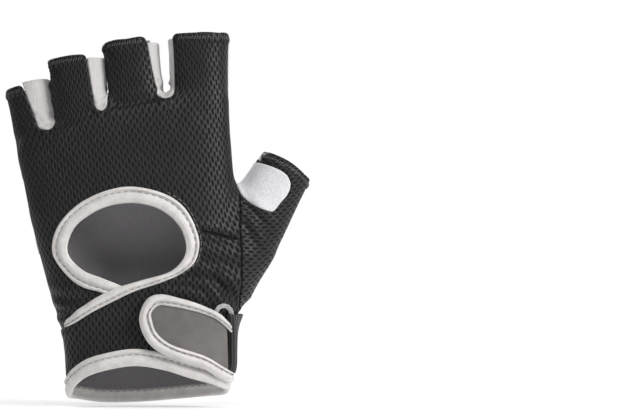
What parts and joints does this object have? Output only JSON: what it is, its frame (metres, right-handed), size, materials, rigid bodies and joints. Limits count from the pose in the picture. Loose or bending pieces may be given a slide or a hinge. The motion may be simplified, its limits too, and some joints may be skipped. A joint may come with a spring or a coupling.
{
  "type": "fitness glove",
  "caption": "Half-finger exercise glove for the left hand with a padded suede palm, mesh back with an oval opening, and a wrist closure through a ring",
  "frame": {"origin": "centre of the wrist opening, at its lowest hem", "axes": "+Z towards the fingers, -Y out of the back of the hand, +X towards the thumb"},
  "size_m": [0.1389, 0.0465, 0.1698],
  "materials": {
    "black_mesh": "knitted mesh",
    "suede": "matte suede",
    "stretch_grey": "smooth stretch cloth",
    "binding": "matte",
    "tab_grey": "matte",
    "clear_plastic": "clear",
    "webbing": "woven",
    "lining": "brushed"
  },
  "bodies": {
    "root": {"back_panel": "black_mesh", "wrist_band": "black_mesh", "palm_panel": "suede", "wrist_panel": "black_mesh", "thumb_front": "black_mesh", "thumb_back": "black_mesh", "thumb_patch": "suede", "fourchette_1": "stretch_grey", "fourchette_2": "stretch_grey", "fourchette_3": "stretch_grey", "gusset_1": "black_mesh", "gusset_2": "black_mesh", "gusset_3": "black_mesh", "opening_binding": "binding", "cuff_binding": "binding", "closure_tab": "tab_grey", "tab_binding": "binding", "strap_ring": "clear_plastic", "ring_loop": "webbing", "palm_lining": "lining"}
  },
  "joints": []
}
